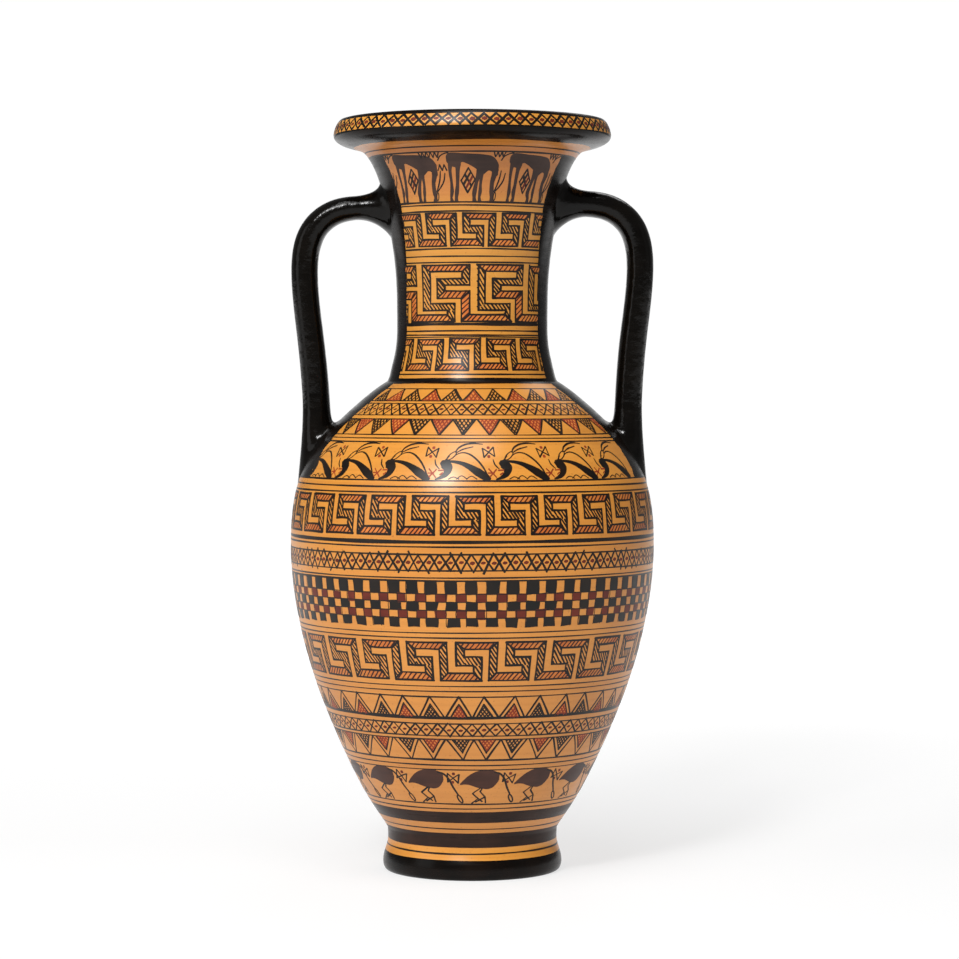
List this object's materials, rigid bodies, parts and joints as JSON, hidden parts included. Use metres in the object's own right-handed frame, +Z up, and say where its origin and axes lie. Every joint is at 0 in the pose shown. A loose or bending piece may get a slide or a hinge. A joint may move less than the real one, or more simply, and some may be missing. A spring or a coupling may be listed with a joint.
{
  "type": "amphora",
  "caption": "Tall clay amphora with vertical loop handles, ring foot, full shoulder, slender flaring neck and a flat-rimmed wide mouth.",
  "frame": {"origin": "on the vase's axis, in the plane of the standing ring", "axes": "+Z up along the vase's axis, +X through the right handle, -Y towards the front painted panel"},
  "size_m": [0.1941, 0.194, 0.4],
  "materials": {
    "painted_clay": "burnished orange clay with black and dark red slip painting",
    "black_banded_clay": "burnished clay, mostly covered in glossy black slip",
    "black_slip": "glossy black slip over clay"
  },
  "bodies": {
    "root": {"foot": "black_banded_clay", "lower_body": "painted_clay", "upper_body": "painted_clay", "neck": "painted_clay", "mouth_rim": "black_banded_clay", "left_handle": "black_slip", "right_handle": "black_slip", "left_upper_lute": "black_slip", "left_lower_lute": "black_slip", "right_upper_lute": "black_slip", "right_lower_lute": "black_slip"}
  },
  "joints": []
}
